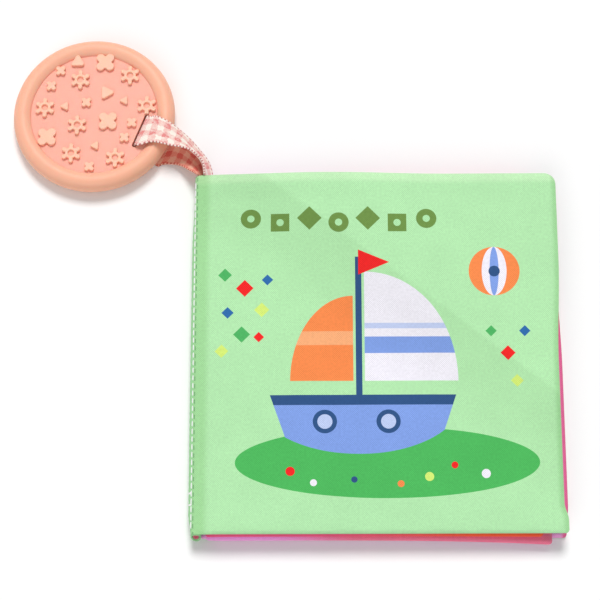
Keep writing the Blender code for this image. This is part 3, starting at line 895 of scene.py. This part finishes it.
def woven_cloth(name, hex_colour, pattern=None):
    """Brushed polyester: a fine plain weave with a short nap, matt and a little mottled to the eye.

    The weave repeats every 0.76 mm, as the cover's does."""
    material, tree, place = new_material(name)
    colour = linear(hex_colour)
    if pattern:
        colour = pattern(tree, place, colour)
    weave = weave_share(tree, place, 0.38 * mm)
    colour = shade_of(tree, colour, weave, 0.79, 1.08)
    for size, darkest, lightest in ((0.9, 0.87, 1.13), (9, 0.95, 1.045), (40, 0.95, 1.06)):
        mottle = add_node(tree, "TexNoise", {"Vector": place, "Scale": 1 / (size * mm)})
        colour = shade_of(tree, colour, mottle, darkest, lightest)
    fine = add_node(tree, "Bump", {"Strength": 0.5, "Distance": 0.05 * mm, "Height": weave})
    slubs = add_node(tree, "TexNoise", {"Vector": place, "Scale": 1 / (5 * mm), "Detail": 3.0})
    uneven = {"Strength": 0.35, "Distance": 0.25 * mm, "Height": slubs, "Normal": fine}
    surface = {
        "Base Color": colour,
        "Roughness": 0.86,
        "Normal": add_node(tree, "Bump", uneven),
        "Specular IOR Level": 0.22,
        "Sheen Weight": 0.12,
        "Sheen Roughness": 0.4,
    }
    return with_surface(material, surface)


def gingham(name, loose=True):
    """Woven gingham ribbon: white and pink yarns that cross in squares of 2.4 mm, rubbed pale in places.

    A loose ribbon's selvedges carry a row of picots, white with red between them. Its run
    below is painted darker and redder, as painted shade under the run above."""
    material, tree, place = new_material(name, as_cloth=loose)
    along, across, _ = add_node(tree, "SeparateXYZ", (place,)).node.outputs

    # Yarns that stray a little from their squares
    wander = add_node(tree, "TexNoise", {"Vector": place, "Scale": 1 / (1.1 * mm)}, "Color")
    wander = add_node(tree, "VectorMath", {0: wander, "Scale": 2 * mm}, operation="SCALE")
    strayed = add_node(tree, "VectorMath", (place, wander), operation="ADD")
    strayed_along, strayed_across, _ = add_node(tree, "SeparateXYZ", (strayed,)).node.outputs
    weft = row_of_marks(tree, strayed_along, 2 * check_width, 0.0)
    warp = row_of_marks(tree, strayed_across, -2 * check_width, 0.0)
    either = add_node(tree, "Math", (weft, warp), operation="MAXIMUM")
    both = add_node(tree, "Math", (weft, warp), operation="MULTIPLY")

    # Rubbed patches on the run above
    above = {"Value": along, "From Min": lower_run_start, "From Max": upper_run_end}
    above = add_node(tree, "MapRange", above, interpolation_type="SMOOTHSTEP")
    patches = add_node(tree, "TexNoise", {"Vector": place, "Scale": 1 / (1.5 * mm), "Detail": 4.0})
    rubbed = {"Value": patches, "From Min": 0.46, "From Max": 0.66, "To Max": 0.65}
    rubbed = add_node(tree, "MapRange", rubbed)
    rubbed = add_node(tree, "Math", (rubbed, above), operation="MULTIPLY")

    colour = inked(tree, linear("FFF6EA"), [(either, "F9CBC2"), (both, "EC918E"), (rubbed, "FFF0E6")])
    if loose:
        half = ribbon_width / 2
        between = add_node(tree, "Math", (across, half, half - 0.5 * mm), operation="COMPARE")
        selvedge = add_node(tree, "Math", (1.0, between), operation="SUBTRACT")
        beads = row_of_marks(tree, along, picot_pitch, -0.1)
        picots = add_node(tree, "Math", (selvedge, beads), operation="MULTIPLY")
        colour = inked(tree, colour, [(selvedge, "D07C7C"), (picots, "FFECE2")])
        # Painted shade under the run above, warmed as by light thrown up from the silicone
        painted_shade_tint = (0.93, 0.58, 0.47, 1)
        colour = tinted(tree, colour, along, upper_run_end, lower_run_start, painted_shade_tint, "MULTIPLY")

    weave = weave_share(tree, place, 0.42 * mm)
    bump = add_node(tree, "Bump", {"Strength": 0.6, "Distance": 0.08 * mm, "Height": weave})
    surface = {
        "Base Color": shade_of(tree, colour, weave, 0.9, 1.04),
        "Roughness": 0.8,
        "Normal": bump,
        "Specular IOR Level": 0.25,
        "Sheen Weight": 0.15,
    }
    return with_surface(material, surface)


def cast_silicone():
    """Platinum silicone: dense and matt, with light scattered a little way under the skin.

    The sunk floor is painted darker, as painted shade in the recess, than the tops of the figures
    and the rim, which are painted lighter where they catch the light."""
    material, tree, place = new_material("cast_silicone")
    # Painted shade low on the floor and painted highlight on the raised tops, by height
    height = add_node(tree, "SeparateXYZ", (place,), 2)
    low, high = floor_top + 0.1 * mm, floor_top + 0.9 * mm
    colour = tinted(tree, linear("F6AF9B"), height, low, high, linear("FFC4A8"))
    # Towards the rim's own lighter tone across its inner side, so the floor's painted shade runs up the
    # foot of that side
    flat = add_node(tree, "VectorMath", (place, (1, 1, 0)), operation="MULTIPLY")
    from_middle = add_node(tree, "VectorMath", (flat,), "Value", operation="LENGTH")
    colour = tinted(tree, colour, from_middle, 22.4 * mm, 25.2 * mm, linear("FDBA9C"))
    clouds = add_node(tree, "TexNoise", {"Vector": place, "Scale": 1 / (7 * mm)})
    grain = add_node(tree, "TexNoise", {"Vector": place, "Scale": 1 / (0.5 * mm)})
    bump = add_node(tree, "Bump", {"Strength": 0.15, "Distance": 0.05 * mm, "Height": grain})
    surface = {
        "Base Color": shade_of(tree, colour, clouds, 0.96, 1.03),
        "Roughness": 0.46,
        "IOR": 1.41,
        "Normal": bump,
        "Subsurface Weight": 0.3,
        "Subsurface Radius": (1.0, 0.35, 0.2),
        "Subsurface Scale": 0.8 * mm,
    }
    return with_surface(material, surface)


def spun_thread():
    """Bright white polyester sewing thread, twisted from two plies."""
    material, tree, place = new_material("white_sewing_thread", as_cloth=False)
    twist = {"Vector": place, "Scale": 0.1 * math.pi / (0.35 * mm)}
    twist = add_node(tree, "TexWave", twist, "Fac", bands_direction="DIAGONAL")
    bump = add_node(tree, "Bump", {"Strength": 0.4, "Distance": 0.06 * mm, "Height": twist})
    colour = shade_of(tree, linear("FFFFFF"), twist, 0.92, 1.0)
    surface = {"Base Color": colour, "Roughness": 0.55, "Normal": bump}
    return with_surface(material, surface)


def fibre_wadding():
    """Bonded polyester wadding: fine white fibres that lie every way."""
    material, tree, place = new_material("polyester_wadding", as_cloth=False)
    fibres = add_node(tree, "TexNoise", {"Vector": place, "Scale": 1 / (0.8 * mm), "Detail": 6.0})
    bump = add_node(tree, "Bump", {"Strength": 0.8, "Distance": 0.2 * mm, "Height": fibres})
    colour = shade_of(tree, linear("F4F2EC"), fibres, 0.86, 1.04)
    surface = {"Base Color": colour, "Roughness": 0.95, "Normal": bump}
    return with_surface(material, surface)


def crinkled_film():
    """Thin PET film with sharp random creases, a little cloudy."""
    material, tree, place = new_material("crinkle_film", as_cloth=False)
    creases = {"Vector": place, "Scale": 1 / (7 * mm)}
    creases = add_node(tree, "TexVoronoi", creases, feature="DISTANCE_TO_EDGE")
    bump = add_node(tree, "Bump", {"Strength": 0.7, "Distance": 0.3 * mm, "Height": creases})
    colour = shade_of(tree, linear("DCE4EA"), creases, 0.94, 1.0)
    surface = {"Base Color": colour, "Roughness": 0.25, "IOR": 1.57, "Normal": bump}
    return with_surface(material, surface)


# Prints

periwinkle = "85A5EC"
pale_blue = "C3D2F8"
sail_blue = "C9D6FA"
blue_ink = "2F6EB0"
navy = "305588"
white_ink = "F8F5FF"
orange = "FF9050"
pale_orange = "FFB37E"
red_ink = "FA2525"
yellow = "DCF57A"
grass = "50BE60"
green_ink = "50B865"
olive = "72964A"
ground = "B4EDB0"

# In mm across and up the cover from its middle, as every place and size of its print is
mast_x = -6
deck_y = -17


def boat_shapes():
    """A toy sailing boat on a hill of grass, from the back to the front.

    Each shape has its middle, half size and ink, and the straight cuts (across, up, limit)
    that trim it."""
    hull = ("disc", mast_x, deck_y, 37, 21)
    bow, stern, below_deck = (1, -0.35, 34), (-1, -0.35, 43), (0, 1, deck_y)
    right_sail, beyond_mast = ("disc", mast_x + 2, -12, 33, 40), (-1, 0, 4)
    left_sail, before_mast = ("disc", mast_x - 2, -12, 22, 31), (1, 0, -8)
    foot_of_sail = (0, -1, 12)
    return [
        ("disc", 4, -41, 53, 12.5, grass, ()),
        (*hull, periwinkle, (below_deck, bow, stern)),
        (*hull, navy, (below_deck, (0, -1, 20.6), bow, stern)),
        ("disc", -18, -26.5, 4.2, 4.2, navy, ()),
        ("disc", -18, -26.5, 2.6, 2.6, pale_blue, ()),
        ("disc", 4, -26.5, 4.2, 4.2, navy, ()),
        ("disc", 4, -26.5, 2.6, 2.6, pale_blue, ()),
        ("box", mast_x, 8, 1.1, 25.5, navy, ()),
        (*right_sail, white_ink, (beyond_mast, foot_of_sail)),
        (*right_sail, periwinkle, (beyond_mast, (0, -1, 2), (0, 1, 4))),
        (*right_sail, sail_blue, (beyond_mast, (0, -1, -7), (0, 1, 9))),
        (*left_sail, orange, (before_mast, foot_of_sail)),
        (*left_sail, pale_orange, (before_mast, (0, -1, -1), (0, 1, 6))),
        ("box", mast_x + 7, 31.5, 7, 5, red_ink, ((0.42, 1, 33.6), (0.42, -1, -29.4))),
    ]


def small_shapes():
    """A ball, a row of plain shapes, and diamonds and dots about the boat."""
    shapes = [
        ("disc", 42, 28, 9, 9, orange, ()),
        ("disc", 42, 28, 4.4, 9, white_ink, ()),
        ("disc", 42, 28, 1.6, 9, periwinkle, ()),
        ("disc", 42, 28, 2, 2, navy, ()),
    ]
    sizes = {"disc": 3.6, "box": 3.3, "diamond": 4.4}
    for i, kind in enumerate(("disc", "box", "diamond", "disc", "diamond", "box", "disc")):
        place = (-44 + 10.4 * i, 47 + (-1) ** i * 0.8)
        shapes.append((kind, *place, sizes[kind], sizes[kind], olive, ()))
        if kind != "diamond":
            shapes.append(("disc", *place, 1.3, 1.3, ground, ()))
    for x, y, size, ink in (
        (-46, 22, 2.3, red_ink), (-52, 13, 1.6, blue_ink), (-40, 14, 2.0, yellow),
        (-47, 5, 2.2, green_ink), (-38, 25, 1.5, blue_ink), (-53, 27, 1.8, green_ink),
        (-41, 4, 1.4, red_ink), (-54, -1, 1.8, yellow), (47, -2, 2.0, red_ink),
        (53, 6, 1.5, blue_ink), (41, 6, 1.5, green_ink), (50, -12, 1.7, yellow),
    ):
        shapes.append(("diamond", x, y, size * 1.35, size * 1.35, ink, ()))
    for x, y, size, ink in (
        (-30, -44, 1.6, red_ink), (-22, -48, 1.2, white_ink), (18, -46, 1.6, yellow),
        (27, -42, 1.2, red_ink), (38, -45, 1.6, white_ink), (-8, -47, 1.1, navy),
        (8, -48.5, 1.2, orange),
    ):
        shapes.append(("disc", x, y, size, size, ink, ()))
    return shapes


def shape_mask(tree, place, kind, x, y, half_x, half_y, cuts):
    """1 inside a disc, a diamond or a box that its cuts have trimmed."""
    scale = (1 / (half_x * mm), 1 / (half_y * mm), 0)
    shift = (-x / half_x, -y / half_y, 0)
    off = add_node(tree, "VectorMath", (place, scale, shift), operation="MULTIPLY_ADD")
    if kind == "disc":
        reach = add_node(tree, "VectorMath", (off,), "Value", operation="LENGTH")
    else:
        off = add_node(tree, "VectorMath", (off,), operation="ABSOLUTE")
        across, up, _ = add_node(tree, "SeparateXYZ", (off,)).node.outputs
        operation = "ADD" if kind == "diamond" else "MAXIMUM"
        reach = add_node(tree, "Math", (across, up), operation=operation)
    mask = add_node(tree, "Math", (reach, 1.0), operation="LESS_THAN")
    for across, up, limit in cuts:
        side = (place, (across, up, 0))
        side = add_node(tree, "VectorMath", side, "Value", operation="DOT_PRODUCT")
        kept = add_node(tree, "Math", (side, limit * mm), operation="LESS_THAN")
        mask = add_node(tree, "Math", (mask, kept), operation="MULTIPLY")
    return mask


def cover_print_and_painted_shade(tree, place, colour):
    """A toy sailing boat, a ball and small shapes printed on the cover, with painted shade and highlight.
    """
    shapes = boat_shapes() + small_shapes()
    marks = [(shape_mask(tree, place, *form, cuts), ink) for *form, ink, cuts in shapes]

    # Painted shadow of the stitches: a darker row of dashes beside them
    across, up, _ = add_node(tree, "SeparateXYZ", (place,)).node.outputs
    beside = add_node(tree, "Math", (across, stitch_shadow_line, 0.2 * mm), operation="COMPARE")
    shadow_dashes = row_of_marks(tree, up, stitch_pitch, -0.2)
    painted_stitch_shadow = add_node(tree, "Math", (beside, shadow_dashes), operation="MULTIPLY")
    colour = inked(tree, colour, marks + [(painted_stitch_shadow, "84B888")])

    # Painted shade and highlight: darker before a slant line, as the shade of a fold, and lighter
    # past it. It is darker at the spine and at the fore edge, where the cloth turns away from the
    # light, and lighter along the head, which faces it
    slant = (place, (0.613, 0.79, 0))
    slant = add_node(tree, "VectorMath", slant, "Value", operation="DOT_PRODUCT")
    for source, start, end, tint in (
        (slant, -12 * mm, 22 * mm, (0.92, 0.925, 0.91, 1)),
        (slant, 25.6 * mm, 27.6 * mm, (1.09, 1.08, 1.1, 1)),
        (across, axis_x + 4.6 * mm, axis_x + 1.6 * mm, (0.8, 0.87, 0.76, 1)),
        (across, 62.4 * mm, 64.4 * mm, (0.8, 0.87, 0.78, 1)),
        (up, 60.8 * mm, 63.2 * mm, (1.2, 1.07, 1.15, 1)),
    ):
        colour = tinted(tree, colour, source, start, end, tint, "MULTIPLY")
    return colour


def printed_fade(hex_colour, start, end):
    """A page whose printed ground changes to another colour between two places across it."""

    def pattern(tree, place, colour):
        across = add_node(tree, "SeparateXYZ", (place,))
        return tinted(tree, colour, across, start, end, linear(hex_colour))

    return pattern


# Putting it together

bpy.context.scene.view_settings.view_transform = "Standard"
place_camera()
dress_stage()
make_leaves()
make_folds()
make_stitches()
make_ribbon()
make_teether()
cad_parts["ribbon_tail"].material_slots[0].material = gingham("ribbon_end_cloth", loose=False)
